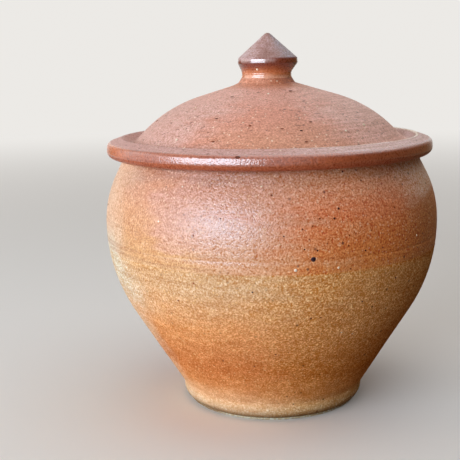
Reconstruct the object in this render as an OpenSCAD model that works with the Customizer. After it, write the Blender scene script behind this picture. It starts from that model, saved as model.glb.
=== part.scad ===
// Lidded sugar pot: a round-bellied pot with an overhanging lift-off lid and a pointed knob.
// Millimetres. The pot stands on z = 0 and its axis is the Z axis.

/* [Pot] */
// Height of the rim above the table
pot_height = 83; // [76:0.5:95]
// Widest diameter of the belly
belly_d = 110; // [104:1:130]
// Height of the widest point above the table
belly_height = 61; // [50:0.5:66]
// How full the lower flank is: 1 is a straight cone, 2 is one round arc
flank_fullness = 1.32; // [1.15:0.01:1.9]
// How full the shoulder is: 1 is a straight cone, 2 is one round arc
shoulder_fullness = 1.55; // [1.15:0.01:1.9]
// Outer diameter of the rim under the lid
rim_d = 96.4; // [90:0.2:99]
// Width of the flat rim that the lid rests on
rim_width = 5.2; // [4:0.1:8]
// Rounding of the rim's two edges
rim_round = 1; // [0.3:0.1:1.5]
// Depth of the upright band inside the mouth
mouth_depth = 3; // [2:0.5:6]
// Thickness of the wall at the belly
pot_wall = 5; // [3.5:0.1:7]

/* [Foot] */
// Diameter of the upright foot band
foot_d = 61; // [52:0.5:72]
// Height of the foot band
foot_height = 5.4; // [4:0.2:9]
// Rounding of the edge that meets the table
foot_round = 2.8; // [1:0.1:3.5]
// Rounding where the foot band turns into the flank
foot_curve = 8; // [2:0.5:12]
// Width of the ring that stands on the table, with its rounded edge
foot_ring = 8; // [6:0.5:14]
// Depth of the turned hollow inside that ring
hollow_depth = 1.5; // [1:0.1:3]
// Thickness of the floor over the hollow
floor_thick = 6; // [4:0.5:9]
// Rounding inside, between the floor and the wall
floor_round = 12; // [4:0.5:16]

/* [Lid] */
// How far the flange stands out past the rim
flange_overhang = 5.55; // [3:0.05:9]
// Thickness of the flange at its outer edge
flange_edge = 4.5; // [4:0.1:5.5]
// Rounding of the flange's lower edge
flange_low_round = 2.2; // [1:0.1:2.6]
// Rounding of the flange's upper edge
flange_top_round = 0.9; // [0.4:0.1:1.4]
// Width of the flange's top from its outer edge in to the crest of the lip
lip_width = 5.25; // [3:0.05:7]
// Height of the lip's crest above the seat, before it is rounded
lip_height = 6.2; // [5.6:0.1:7.5]
// Rounding of the lip's crest
lip_round = 0.9; // [0.4:0.1:1.4]
// Width from the crest of the lip in to the bottom of the gutter
gutter_width = 2.8; // [2:0.1:4]
// Height of the gutter above the seat, before it is rounded
gutter_height = 3.3; // [2.8:0.1:4.2]
// Rounding of the gutter
gutter_round = 1.4; // [0.6:0.1:2]
// Width of the dome's steep side, from the gutter in to the bend of the dome
side_width = 12.5; // [9:0.1:16]
// Height of the dome's bend above the seat, before it is rounded
bend_height = 15.7; // [13:0.1:18]
// Rounding of the dome's bend
dome_round = 44; // [15:1:48]
// Height of the knob's seat above the lid's seat
dome_height = 22.9; // [21:0.1:28]
// Thickness of the dome
lid_wall = 5; // [3.5:0.1:6.5]

/* [Collar] */
// Gap all round between the collar and the mouth
collar_gap = 1.2; // [0.6:0.1:2]
// Depth of the collar below the seat
collar_depth = 7; // [4:0.5:12]
// Thickness of the collar
collar_wall = 4; // [3:0.1:6]
// Rounding of the collar's lower edges
collar_round = 1.2; // [0.4:0.1:2]

/* [Knob] */
// Diameter of the knob where it sits on the dome
knob_base_d = 18.4; // [17.4:0.2:22]
// Diameter of the knob's neck
neck_d = 16.6; // [14:0.2:17.2]
// Height of the narrow part of the neck above the knob's seat
neck_height = 1.9; // [1.4:0.1:2.6]
// Length of the narrow part of the neck
neck_length = 1.7; // [1:0.1:2.5]
// Rounding of the neck
neck_round = 3; // [1:0.2:6]
// Widest diameter of the knob, before its edge is rounded
knob_d = 20; // [17.8:0.2:26]
// Height of the knob's widest edge above its seat
knob_edge_height = 7.3; // [6:0.1:9]
// Rounding of that edge
knob_edge_round = 0.6; // [0.2:0.1:1.2]
// Height of the knob's point above its seat
knob_height = 16.1; // [13:0.1:20]
// Diameter of the blunt end of the point, before it is rounded
knob_tip_d = 2.2; // [1.6:0.1:3.5]
// Rounding of the point
knob_tip_round = 1.5; // [0.4:0.1:2]

/* [Hidden] */
$fn = 180;

// Greatest distance between a rounding and the straight steps that draw it
arc_sag = 0.02;
// Share of an edge that the roundings at its two ends may take up
rounded_share = 0.98;
// How far the hollow of the dome is cut past the seat
cut_past = 1;

belly_r = belly_d / 2;
rim_r = rim_d / 2;
mouth_r = rim_r - rim_width;
foot_r = foot_d / 2;
floor_height = hollow_depth + floor_thick;
lid_seat = pot_height;
flange_r = rim_r + flange_overhang;
lip_r = flange_r - lip_width;
gutter_r = lip_r - gutter_width;
bend_r = gutter_r - side_width;
collar_outer = mouth_r - collar_gap;
collar_inner = collar_outer - collar_wall;
knob_seat = lid_seat + dome_height;
knob_base_r = knob_base_d / 2;
neck_r = neck_d / 2;

function unit(v) = v / norm(v);
function turned(v, angle) = [v.x * cos(angle) - v.y * sin(angle), v.x * sin(angle) + v.y * cos(angle)];
function left_turn(a, b) = a.x * b.y - a.y * b.x;
function half_angle(a, b) = acos(unit(a) * unit(b)) / 2;

// Part of the wanted roundings that fits on the edge between two corners
function fitting(edge, runs) = runs > 0 ? min(1, rounded_share * edge / runs) : 1;

// Points of the arc that rounds a corner and starts one run away from it on either edge
function corner_arc(tip, back, ahead, run) =
    let (
        half = half_angle(back, ahead),
        radius = run * tan(half),
        centre = tip + run / cos(half) * unit(unit(back) + unit(ahead)),
        first = tip + run * unit(back) - centre,
        turn = (180 - 2 * half) * sign(left_turn(ahead, back)),
        steps = ceil(abs(turn) / acos(1 - arc_sag / radius) / 2)
    )
    [for (k = [0 : steps]) centre + turned(first, turn * k / steps)];

// Points of a half outline, from corners listed anticlockwise as [distance from the axis, height, rounding]
function rounded(corners) =
    let (
        count = len(corners),
        places = [0 : count - 1],
        tips = [for (corner = corners) [corner.x, corner.y]],
        ahead = [for (i = places) tips[(i + 1) % count] - tips[i]],
        back = [for (i = places) -ahead[(i + count - 1) % count]],
        wanted = [for (i = places) corners[i].z / tan(half_angle(back[i], ahead[i]))],
        fit = [for (i = places) fitting(norm(ahead[i]), wanted[i] + wanted[(i + 1) % count])],
        run = [for (i = places) wanted[i] * min(fit[i], fit[(i + count - 1) % count])]
    )
    [for (i = places) each run[i] > 0 ? corner_arc(tips[i], back[i], ahead[i], run[i]) : [tips[i]]];

// Corner of a wall that runs straight from a point and rounds into the upright tangent at the widest point
function belly_corner(widest, from, fullness) =
    let (
        inward = widest.x - from.x,
        rise = abs(from.y - widest.y),
        lean = fullness * atan(inward / rise),
        radius = (rise * sin(lean) - inward * cos(lean)) / (1 - cos(lean))
    )
    [widest.x, widest.y + sign(from.y - widest.y) * radius * tan(lean / 2), radius];

// The two corners of a belly between a low point and a high point
function belly_corners(radius, low, high) = [
    belly_corner([radius, belly_height], low, flank_fullness),
    belly_corner([radius, belly_height], high, shoulder_fullness)
];

module pot() {
    inside_foot_r = foot_r - pot_wall;
    mouth_low = pot_height - mouth_depth;
    outside = belly_corners(belly_r, [foot_r, foot_height], [rim_r, pot_height]);
    inside = belly_corners(belly_r - pot_wall, [inside_foot_r, floor_height], [mouth_r, mouth_low]);
    color("peru")
        rotate_extrude()
            polygon(rounded([
                [0, hollow_depth, 0],
                [foot_r - foot_ring - hollow_depth, hollow_depth, 0],
                [foot_r - foot_ring, 0, 0],
                [foot_r, 0, foot_round],
                [foot_r, foot_height, foot_curve],
                outside[0],
                outside[1],
                [rim_r, pot_height, rim_round],
                [mouth_r, pot_height, rim_round],
                [mouth_r, mouth_low, 0],
                inside[1],
                inside[0],
                [inside_foot_r, floor_height, floor_round],
                [0, floor_height, 0]
            ]));
}

// Half outline of the dome's inside, a wall's thickness below the dome
module dome_hollow() {
    crown_slope = atan2(dome_height - bend_height, bend_r - knob_base_r);
    side_slope = atan2(bend_height - gutter_height, side_width);
    middle = (crown_slope + side_slope) / 2;
    inset = lid_wall / cos((side_slope - crown_slope) / 2);
    bend = [bend_r - inset * sin(middle), lid_seat + bend_height - inset * cos(middle)];
    low = lid_seat - cut_past;
    top = knob_seat - lid_wall;
    intersection() {
        polygon(rounded([
            [0, low, 0],
            [bend.x + (bend.y - low) / tan(side_slope), low, 0],
            [bend.x, bend.y, dome_round - lid_wall],
            [bend.x - (top - bend.y) / tan(crown_slope), top, 0],
            [0, top, 0]
        ]));
        translate([0, low])
            square([collar_inner, dome_height]);
    }
}

module lid() {
    color("rosybrown")
        rotate_extrude()
            difference() {
                polygon(rounded([
                    [0, lid_seat, 0],
                    [flange_r, lid_seat, flange_low_round],
                    [flange_r, lid_seat + flange_edge, flange_top_round],
                    [lip_r, lid_seat + lip_height, lip_round],
                    [gutter_r, lid_seat + gutter_height, gutter_round],
                    [bend_r, lid_seat + bend_height, dome_round],
                    [knob_base_r, knob_seat, 0],
                    [0, knob_seat, 0]
                ]));
                dome_hollow();
            }
}

module lid_collar() {
    color("sienna")
        rotate_extrude()
            polygon(rounded([
                [collar_inner, lid_seat - collar_depth, collar_round],
                [collar_outer, lid_seat - collar_depth, collar_round],
                [collar_outer, lid_seat, 0],
                [collar_inner, lid_seat, 0]
            ]));
}

module knob() {
    color("indianred")
        translate([0, 0, knob_seat])
            rotate_extrude()
                polygon(rounded([
                    [0, 0, 0],
                    [knob_base_r, 0, 0],
                    [neck_r, neck_height, neck_round],
                    [neck_r, neck_height + neck_length, neck_round],
                    [knob_d / 2, knob_edge_height, knob_edge_round],
                    [knob_tip_d / 2, knob_height, knob_tip_round],
                    [0, knob_height, 0]
                ]));
}

pot();
lid();
lid_collar();
knob();
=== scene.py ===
"""Stoneware sugar pot with a lift-off lid: thrown forms and fired-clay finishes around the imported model."""

from collections import namedtuple
from math import atan, atan2, ceil, copysign, cos, pi, radians, sin, tan

import bpy
from mathutils import Matrix, Vector


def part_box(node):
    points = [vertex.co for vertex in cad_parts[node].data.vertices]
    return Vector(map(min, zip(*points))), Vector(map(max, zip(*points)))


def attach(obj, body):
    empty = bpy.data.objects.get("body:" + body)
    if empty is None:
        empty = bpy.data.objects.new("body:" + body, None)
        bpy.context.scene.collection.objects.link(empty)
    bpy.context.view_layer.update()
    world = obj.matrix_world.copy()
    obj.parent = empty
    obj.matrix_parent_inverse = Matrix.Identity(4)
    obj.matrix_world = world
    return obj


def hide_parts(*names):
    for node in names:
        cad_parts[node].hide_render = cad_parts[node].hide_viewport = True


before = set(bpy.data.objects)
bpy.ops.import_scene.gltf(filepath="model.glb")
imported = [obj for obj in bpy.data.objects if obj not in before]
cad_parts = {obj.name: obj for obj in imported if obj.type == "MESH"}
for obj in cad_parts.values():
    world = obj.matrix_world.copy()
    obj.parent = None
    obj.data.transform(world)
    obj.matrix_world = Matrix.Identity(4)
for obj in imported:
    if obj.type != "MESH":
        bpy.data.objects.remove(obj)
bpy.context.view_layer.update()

# Lengths are metres, and angles are degrees, counted from the front of the pot towards its right
MM = 0.001

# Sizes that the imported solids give
_, pot_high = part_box("pot")
lid_low, lid_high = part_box("lid")
collar_low, collar_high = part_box("lid_collar")
knob_low, knob_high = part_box("knob")
RIM_HEIGHT = pot_high.z
BELLY_R = pot_high.x
SEAT_HEIGHT = lid_low.z
FLANGE_R = lid_high.x
KNOB_SEAT = knob_low.z
KNOB_TIP = knob_high.z
COLLAR_R = collar_high.x
COLLAR_LOW = collar_low.z

# Pot
BELLY_HEIGHT = 61 * MM
FLANK_FULLNESS = 1.32
SHOULDER_FULLNESS = 1.55
RIM_R = 48.2 * MM
MOUTH_R = 43 * MM
RIM_ROUND = 1 * MM
MOUTH_DEPTH = 3 * MM
MOUTH_ROUND = 0.6 * MM
POT_WALL = 5 * MM
FOOT_R = 30.5 * MM
FOOT_HEIGHT = 5.4 * MM
FOOT_ROUND = 4 * MM
FOOT_ROUND_HEIGHT = 1.77 * MM
FOOT_CURVE = 5 * MM
FOOT_RING = 8 * MM
WIPED_IN = 1.9 * MM
WIPED_HEIGHT = 0.6 * MM
WIPED_LOW_ROUND = 0.15 * MM
WIPED_TOP_ROUND = 0.1 * MM
HOLLOW_DEPTH = 1.5 * MM
HOLLOW_ROUND = 0.5 * MM
FLOOR_HEIGHT = 7.5 * MM
FLOOR_ROUND = 12 * MM
THROWING_LINE = 53.6 * MM
THROWING_LINE_DEPTH = 0.05 * MM
UPPER_LINE = 57.6 * MM
UPPER_LINE_DEPTH = 0.08 * MM

# Lid, with heights above its seat
FLANGE_EDGE = 4.5 * MM
FLANGE_LOW_ROUND = 2.2 * MM
FLANGE_TOP_ROUND = 1.5 * MM
FLANGE_LEAN = 0.4 * MM
FLANGE_BAND = 1.0 * MM
FLANGE_DRY = 1.6 * MM
LIP_R = 48.5 * MM
LIP_CREST_R = LIP_R + 0.05 * MM
LIP_HEIGHT = 6.2 * MM
LIP_ROUND = 0.9 * MM
GUTTER_R = 45.7 * MM
GUTTER_HEIGHT = 3.3 * MM
GUTTER_ROUND = 1.4 * MM
BEND_R = 33.2 * MM
BEND_HEIGHT = 15.7 * MM
DOME_ROUND = 44 * MM
LID_WALL = 5 * MM
CROWN_INSIDE_ROUND = 6 * MM
COLLAR_WALL = 4 * MM
COLLAR_ROUND = 1.2 * MM
COLLAR_TOP_ROUND = 1 * MM
# The loose lid sits a little to the left in the mouth, within its clearance
LID_OFF_CENTRE = (-0.4 * MM, 0, 0)

# Knob, with heights above its seat
KNOB_BASE_R = 9.2 * MM
KNOB_FLARE_R = 11.6 * MM
KNOB_FLARE_LOW = -0.95 * MM
KNOB_FOOT_R = 9.3 * MM
KNOB_FOOT_HEIGHT = 0.15 * MM
KNOB_FOOT_ROUND = 1.2 * MM
NECK_R = 8.15 * MM
NECK_LOW = 1.9 * MM
NECK_HIGH = 3.6 * MM
NECK_ROUND = 3 * MM
KNOB_EDGE_R = 9.9 * MM
KNOB_EDGE_LOW = 6.5 * MM
KNOB_EDGE_HIGH = 8.1 * MM
KNOB_EDGE_LEAN = 0.22 * MM
KNOB_EDGE_ROUND = 0.9 * MM
KNOB_GLOSS_LOW = KNOB_SEAT + 1.6 * MM
# The neck stands a little to the left under the knob's edge
NECK_ASIDE = -0.4 * MM
TIP_R = 0.6 * MM
TIP_ROUND = 1.2 * MM

# How a stretch of outline is drawn: the space between its points, the depth and pitch of its spiral finger
# grooves, its share of the wall's lumps, and which of the piece's finishes it has
Stretch = namedtuple("Stretch", "step groove pitch lumps finish")


def stretch_of(step, groove, pitch, lumps, finish):
    """A stretch whose three lengths are given in millimetres."""
    return Stretch(step * MM, groove * MM, pitch * MM, lumps, finish)


SEAT = stretch_of(1.6, 0, 2, 0, 0)
FOOT_EDGE = stretch_of(0.5, 0, 2, 0, 2)
POT_SHOULDER = stretch_of(0.7, 0.035, 2.7, 1, 0)
POT_FLANK = stretch_of(0.7, 0.035, 2.7, 1, 2)
POT_INSIDE = stretch_of(1.4, 0.22, 7, 1, 1)
DOME = stretch_of(0.6, 0.03, 2.1, 1, 0)
FLANGE = stretch_of(0.5, 0.01, 1.5, 0.4, 1)
FLANGE_FOOT = stretch_of(0.5, 0.01, 1.5, 0.4, 2)
LIP = stretch_of(0.5, 0.01, 1.5, 0.4, 0)
LID_INSIDE = stretch_of(1.4, 0.12, 5, 0.6, 0)
COLLAR_SIDE = stretch_of(0.7, 0.03, 1.8, 0.4, 0)
NECK = stretch_of(0.2, 0.06, 0.85, 0.3, 1)
KNOB_EDGE = stretch_of(0.2, 0.01, 0.85, 0.3, 1)
KNOB_FLARE = stretch_of(0.4, 0.01, 0.85, 0.3, 2)
CONE = stretch_of(0.3, 0.012, 1.3, 0.4, 0)

ARC_TURN = radians(10)
FULL_TURN = 2 * pi
ROUNDED_SHARE = 0.98
EASING_PASSES = 6
WELD = 0.001 * MM
# Lumps of the wall in a metre, and how far a finish's number may be off
LUMP_SCALE = 38.0
FINISH_SLACK = 0.1


def belly_corner(widest, start, fullness):
    """Corner where a wall straight from a point rounds into the upright at the widest point."""
    inward = widest[0] - start[0]
    rise = start[1] - widest[1]
    lean = fullness * atan(inward / abs(rise))
    radius = (abs(rise) * sin(lean) - inward * cos(lean)) / (1 - cos(lean))
    return widest[0], widest[1] + copysign(radius * tan(lean / 2), rise), radius


def corner_arc(tip, back, ahead, run, step):
    """Points of the arc that rounds a corner, from one run before it to one run after."""
    if run <= 0:
        return [tip]
    half = back.angle(ahead) / 2
    radius = run * tan(half)
    centre = tip + run / cos(half) * (back.normalized() + ahead.normalized()).normalized()
    first = tip + run * back.normalized() - centre
    turn = copysign(pi - 2 * half, ahead.x * back.y - ahead.y * back.x)
    count = ceil(max(abs(turn) / ARC_TURN, abs(turn) * radius / step))
    return [centre + Matrix.Rotation(turn * k / count, 2) @ first for k in range(count + 1)]


def straight_steps(start, end, step):
    """Points between two others on a straight line."""
    count = ceil((end - start).length / step)
    return [start.lerp(end, k / count) for k in range(1, count)]


def outline(corners):
    """Points of a half outline, as (place, stretch), through corners listed anticlockwise.

    A corner is (radius, height, rounding, the stretch that starts there)."""
    tips = [Vector(corner[:2]) for corner in corners]
    places = range(len(tips))
    ahead = [tips[(i + 1) % len(tips)] - tips[i] for i in places]
    wanted = [corners[i][2] / tan(ahead[i].angle(-ahead[i - 1]) / 2) for i in places]
    asked = [wanted[i] + wanted[(i + 1) % len(tips)] for i in places]
    fit = [min(1, ROUNDED_SHARE * ahead[i].length / asked[i]) if asked[i] else 1 for i in places]
    points = []
    for i in places:
        stretch = corners[i][3]
        run = wanted[i] * min(fit[i], fit[i - 1])
        arc = corner_arc(tips[i], -ahead[i - 1], ahead[i], run, stretch.step)
        if points:
            last, before = points[-1]
            points += [(place, before) for place in straight_steps(last, arc[0], before.step)]
        points += [(place, stretch) for place in arc]
    return points


def outward_normals(places):
    """Unit normals of an anticlockwise half outline."""
    normals = []
    for i in range(len(places)):
        along = places[min(i + 1, len(places) - 1)] - places[max(i - 1, 0)]
        normals.append(Vector((along.y, -along.x)).normalized())
    return normals


def eased(values):
    """Values whose steps are softened, with zeros left at zero."""
    soft = list(values)
    for _ in range(EASING_PASSES):
        near = [soft[max(i - 1, 0):i + 2] for i in range(len(soft))]
        soft = [sum(some) / len(some) for some in near]
    return [new if old else 0 for old, new in zip(values, soft)]


def groove_turns(points):
    """How many turns of the spiral groove lie below each point of an outline."""
    turns = [0]
    for (start, stretch), (end, _) in zip(points, points[1:]):
        turns.append(turns[-1] + (end - start).length / stretch.pitch)
    return turns


def carry(mesh, name, numbers):
    """Stores a named number on each vertex of a mesh."""
    mesh.attributes.new(name, "FLOAT", "POINT").data.foreach_set("value", numbers)


def carry_vectors(mesh, name, vectors):
    """Stores a named vector on each vertex of a mesh."""
    for item, vector in zip(mesh.attributes.new(name, "FLOAT_VECTOR", "POINT").data, vectors):
        item.vector = vector


def outline_mesh(name, points):
    """An outline as a line of vertices that carry what the turned form needs."""
    places = [place for place, _ in points]
    mesh = bpy.data.meshes.new(name)
    line = [(i, i + 1) for i in range(len(places) - 1)]
    mesh.from_pydata([(place.x, 0, place.y) for place in places], line, [])
    carry(mesh, "groove", eased([stretch.groove for _, stretch in points]))
    carry(mesh, "lumps", eased([stretch.lumps for _, stretch in points]))
    carry(mesh, "finish", [stretch.finish for _, stretch in points])
    carry(mesh, "turns", groove_turns(points))
    carry_vectors(mesh, "outward", [(normal.x, 0, normal.y) for normal in outward_normals(places)])
    return mesh


class Amount:
    """What a socket gives, for plain arithmetic between sockets and numbers."""

    def __init__(self, net, socket):
        self.net = net
        self.socket = socket

    def __add__(self, other):
        return self.net.math("ADD", self, other)

    def __sub__(self, other):
        return self.net.math("SUBTRACT", self, other)

    def __rsub__(self, other):
        return self.net.math("SUBTRACT", other, self)

    def __mul__(self, other):
        return self.net.math("MULTIPLY", self, other)

    def __truediv__(self, other):
        return self.net.math("DIVIDE", self, other)

    def __abs__(self):
        return self.net.math("ABSOLUTE", self)

    def smooth(self, low, high):
        """0 below low, 1 above high, and a soft change between; a low over high turns it round."""
        inputs = {"Value": self, "From Min": low, "From Max": high}
        return self.net.number("ShaderNodeMapRange", inputs, interpolation_type="SMOOTHSTEP")

    def risen(self, low, high):
        """The same for a length, between low and high millimetres."""
        return self.smooth(low * MM, high * MM)

    def between(self, first, second):
        """A number that runs from the first to the second while this one runs from 0 to 1."""
        inputs = {"Value": self, "To Min": first, "To Max": second}
        return self.net.number("ShaderNodeMapRange", inputs)


class NodeWriter:
    """Writes joined nodes into a tree."""

    def __init__(self, tree):
        self.tree = tree

    def feed(self, socket, value):
        if isinstance(value, Amount):
            value = value.socket
        if isinstance(value, bpy.types.NodeSocket):
            self.tree.links.new(value, socket)
        else:
            socket.default_value = value

    def add(self, kind, inputs=None, **settings):
        node = self.tree.nodes.new(kind)
        for name, value in settings.items():
            setattr(node, name, value)
        for key, value in (inputs or {}).items():
            self.feed(node.inputs[key], value)
        return node

    def number(self, kind, inputs, output=0, **settings):
        """What a new node gives, for arithmetic."""
        return Amount(self, self.add(kind, inputs, **settings).outputs[output])

    def grow(self, kind, inputs=None, **settings):
        """What a new geometry node gives."""
        return self.add("GeometryNode" + kind, inputs, **settings).outputs[0]

    def math(self, operation, *values):
        return self.number("ShaderNodeMath", dict(enumerate(values)), operation=operation)

    def vector(self, operation, *values):
        inputs = dict(enumerate(values))
        return self.add("ShaderNodeVectorMath", inputs, operation=operation).outputs["Vector"]

    def length(self, vector):
        return self.number("ShaderNodeVectorMath", {0: vector}, "Value", operation="LENGTH")

    def combine(self, x, y, z):
        return self.add("ShaderNodeCombineXYZ", {"X": x, "Y": y, "Z": z}).outputs[0]

    def parts(self, vector):
        """The three numbers of a vector."""
        return [Amount(self, part) for part in self.add("ShaderNodeSeparateXYZ", {0: vector}).outputs]

    def noise(self, place, scale, detail=2.0):
        """Soft random values about one half, in patches of about 1 / scale metres."""
        inputs = {"Vector": place, "Scale": scale, "Detail": detail, "Roughness": 0.5}
        return self.number("ShaderNodeTexNoise", inputs)

    def swing(self, place, scale, reach, detail=2.0):
        """Soft random values between about minus and plus half of reach."""
        return (self.noise(place, scale, detail) - 0.5) * reach

    def mix(self, share, first, second):
        return self.add("ShaderNodeMix", {0: share, 6: first, 7: second}, data_type="RGBA").outputs[2]

    def named(self, kind, name):
        """What a mesh carries under a name."""
        return self.number("GeometryNodeInputNamedAttribute", {"Name": name}, data_type=kind)

    def sampled(self, kind, mesh, value, index):
        """A value at one numbered vertex of a mesh."""
        inputs = {"Geometry": mesh, "Value": value, "Index": index}
        return self.number("GeometryNodeSampleIndex", inputs, data_type=kind)

    def stored(self, mesh, name, value, **settings):
        """A mesh or points that carry a value under a name."""
        inputs = {"Geometry": mesh, "Name": name, "Value": value}
        return self.grow("StoreNamedAttribute", inputs, **settings)


def new_tree(name, inputs):
    """A geometry tree with named inputs, its writer, and the sockets of what it is given."""
    tree = bpy.data.node_groups.new(name, "GeometryNodeTree")
    tree.interface.new_socket(name="Geometry", in_out="OUTPUT", socket_type="NodeSocketGeometry")
    for key, kind in {"Geometry": "Geometry", **inputs}.items():
        tree.interface.new_socket(name=key, in_out="INPUT", socket_type="NodeSocket" + kind)
    net = NodeWriter(tree)
    return tree, net, net.add("NodeGroupInput").outputs


def end_tree(net, geometry, *finishes):
    """Gives out the geometry as plain mesh, with each (material, selection) set."""
    geometry = net.grow("RealizeInstances", {"Geometry": geometry})
    geometry = net.grow("SetShadeSmooth", {0: geometry})
    for material, selection in finishes:
        inputs = {"Geometry": geometry, "Selection": selection, "Material": material}
        geometry = net.grow("SetMaterial", inputs)
    net.add("NodeGroupOutput", {"Geometry": geometry})


def turned_form_tree():
    """Turns a half outline round the Z axis, with a spiral groove and the lumps of a thrown wall."""
    tree, net, given = new_tree("turned_form", {
        "Segments": "Int", "Lump Depth": "Float", "Off Centre": "Vector",
        "Clay": "Material", "Second Clay": "Material", "Third Clay": "Material",
    })
    line = given["Geometry"]
    count = net.grow("AttributeDomainSize", {"Geometry": line})
    columns = net.math("ADD", given["Segments"], 1)
    grid = net.grow("MeshGrid", {"Vertices X": columns, "Vertices Y": count})
    index = net.grow("InputIndex")
    column = net.math("FLOOR", net.math("DIVIDE", index, count))
    row = net.math("FLOORED_MODULO", index, count)
    angle = column * FULL_TURN / given["Segments"]

    def carried(kind, name):
        return net.sampled(kind, line, net.named(kind, name), row)

    def turned(vector):
        inputs = {"Vector": vector, "Angle": angle}
        return net.add("ShaderNodeVectorRotate", inputs, rotation_type="Z_AXIS").outputs[0]

    place = turned(net.sampled("FLOAT_VECTOR", line, net.grow("InputPosition"), row))
    outward = turned(carried("FLOAT_VECTOR", "outward"))
    spiral = net.math("SINE", carried("FLOAT", "turns") * FULL_TURN + angle)
    firmness = net.noise(place, LUMP_SCALE * 2)
    lump = net.swing(place, LUMP_SCALE, given["Lump Depth"], 1.0)
    rise = spiral * firmness * carried("FLOAT", "groove") + lump * carried("FLOAT", "lumps")
    moved = net.vector("ADD", place, net.vector("MULTIPLY", outward, net.combine(rise, rise, rise)))
    moved = net.vector("ADD", moved, given["Off Centre"])
    wall = net.grow("SetPosition", {"Geometry": grid, "Position": moved})
    face_row = net.math("FLOORED_MODULO", index, net.math("SUBTRACT", count, 1))
    finish = net.sampled("FLOAT", line, net.named("FLOAT", "finish"), face_row)
    wall = net.stored(wall, "clay", finish, data_type="FLOAT", domain="FACE")
    wall = net.grow("MergeByDistance", {"Geometry": wall, "Distance": WELD})
    chosen = net.named("FLOAT", "clay")
    second = net.math("COMPARE", chosen, 1, FINISH_SLACK)
    third = net.math("COMPARE", chosen, 2, FINISH_SLACK)
    first = (given["Clay"], True)
    end_tree(net, wall, first, (given["Second Clay"], second), (given["Third Clay"], third))
    return tree


# The beads that stand for bits in the clay, and how clearly a face has to look out to hold one
BEAD = {"Segments": 9, "Rings": 5, "Radius": 0.5}
LOOKS_OUT = 0.002 * MM
# Bits are scattered from a little in front of the axis to the back
FAR_SIDE = -12 * MM


def set_in_clay_tree():
    """Low domes on marked points of a wall, and more scattered over its far side."""
    tree, net, given = new_tree("set_in_clay", {
        "Wall": "Object", "Density": "Float", "Seed": "Int", "Least Size": "Float", "Largest Size": "Float",
        "Flatness": "Float", "Drawn Out": "Float", "Clay": "Material",
    })
    wall = net.add("GeometryNodeObjectInfo", {"Object": given["Wall"]}).outputs["Geometry"]
    x, y, _ = net.parts(net.grow("InputPosition"))
    inputs = {0: net.grow("InputNormal"), 1: net.combine(x, y, 0)}
    looks_out = net.add("ShaderNodeVectorMath", inputs, operation="DOT_PRODUCT").outputs["Value"]
    far = net.math("GREATER_THAN", y, FAR_SIDE)
    far_outside = far * net.math("GREATER_THAN", looks_out, LOOKS_OUT)
    inputs = {"Mesh": wall, "Selection": far_outside, "Density": given["Density"], "Seed": given["Seed"]}
    scatter = net.add("GeometryNodeDistributePointsOnFaces", inputs).outputs
    inputs = {2: given["Least Size"], 3: given["Largest Size"], "Seed": given["Seed"]}
    size = net.add("FunctionNodeRandomValue", inputs, data_type="FLOAT").outputs[1]
    points = net.stored(scatter["Points"], "outward", scatter["Normal"], data_type="FLOAT_VECTOR")
    points = net.stored(points, "size", size, data_type="FLOAT")
    marked = net.grow("MeshToPoints", {"Mesh": given["Geometry"]})
    joined = net.add("GeometryNodeJoinGeometry")
    net.feed(joined.inputs[0], points)
    net.feed(joined.inputs[0], marked)
    outward = net.named("FLOAT_VECTOR", "outward")
    across = net.named("FLOAT", "size")
    upright = net.add("FunctionNodeAlignRotationToVector", {"Vector": outward}, axis="Z").outputs[0]
    along = net.vector("CROSS_PRODUCT", (0, 0, 1), outward)
    inputs = {"Rotation": upright, "Vector": along}
    turned = net.add("FunctionNodeAlignRotationToVector", inputs, axis="X", pivot_axis="Z").outputs[0]
    bead = net.grow("MeshUVSphere", BEAD)
    scale = net.combine(across * given["Drawn Out"], across, across * given["Flatness"])
    inputs = {"Points": joined.outputs[0], "Instance": bead, "Rotation": turned, "Scale": scale}
    beads = net.grow("InstanceOnPoints", inputs)
    end_tree(net, beads, (given["Clay"], True))
    return tree


def set_inputs(modifier, values):
    """Sets a tree's inputs on its modifier, by their sockets' identifiers."""
    for item in modifier.node_group.interface.items_tree:
        if item.in_out == "INPUT" and item.name in values:
            modifier[item.identifier] = values[item.name]


def placed(name, data):
    """A new object in the scene."""
    thing = bpy.data.objects.new(name, data)
    bpy.context.scene.collection.objects.link(thing)
    return thing


def grown_piece(name, mesh, tree, values):
    """The plain mesh that a tree grows from a starting mesh, as an object of its own."""
    seed = placed(name + "_start", mesh)
    modifier = seed.modifiers.new(tree.name, "NODES")
    modifier.node_group = tree
    set_inputs(modifier, values)
    grown = seed.evaluated_get(bpy.context.evaluated_depsgraph_get())
    plain = bpy.data.meshes.new_from_object(grown)
    bpy.data.objects.remove(seed)
    return placed(name, plain)


# Finishes
GRAIN_SHARES = (0.65, 1.0, 1.3)
DARKEST_GRAIN = (0.1, 0.1, 0.1)
STREAK_LEAN = -0.5
SPECK_LEAST = 0.2
SPECK_LARGEST = 0.5
SPECK_EDGE = (1.0, 0.55)


def tone(red, green, blue):
    """A colour in display values from 0 to 255, as the linear values that shaders take."""
    values = [value / 255 for value in (red, green, blue)]
    return (*[v / 12.92 if v <= 0.04045 else ((v + 0.055) / 1.055) ** 2.4 for v in values], 1)


def stops(*rows):
    """Stops of a ramp, from rows of a height in millimetres and a red, green and blue."""
    return [(height, tone(*colour)) for height, *colour in rows]


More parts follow.
